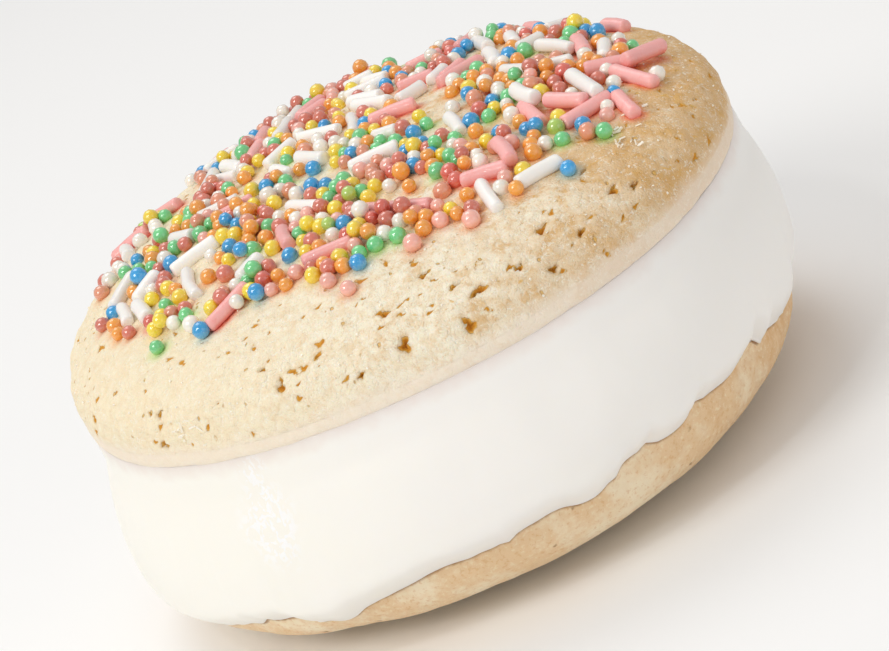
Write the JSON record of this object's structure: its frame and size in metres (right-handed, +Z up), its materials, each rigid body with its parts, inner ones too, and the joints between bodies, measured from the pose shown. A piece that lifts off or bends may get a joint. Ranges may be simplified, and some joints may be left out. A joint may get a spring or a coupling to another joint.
{
  "type": "ice cream sandwich",
  "caption": "Round ice cream sandwich: two soft sugar cookies with a thick layer of vanilla ice cream between them, colourful sugar sprinkles on top.",
  "frame": {"origin": "on the floor, under the middle of the sandwich", "axes": "+Z up through both cookies, -Y towards the front that the picture shows"},
  "size_m": [0.0792, 0.0789, 0.0407],
  "materials": {
    "sugar_cookie": "pale baked sugar cookie, matt crumb with small amber pits, browner towards the rim",
    "vanilla_ice_cream": "smooth creamy white ice cream, softly glossy where it melts",
    "lower_cookie": "tan baked sugar cookie, smooth and matt with a few dark pores",
    "sugar_sprinkles": "small sugar pearls and rods in coral, orange, yellow, green, blue, pink and white, with a soft shine"
  },
  "bodies": {
    "root": {"top_cookie": "sugar_cookie", "ice_cream": "vanilla_ice_cream", "bottom_cookie": "lower_cookie"}
  },
  "joints": []
}
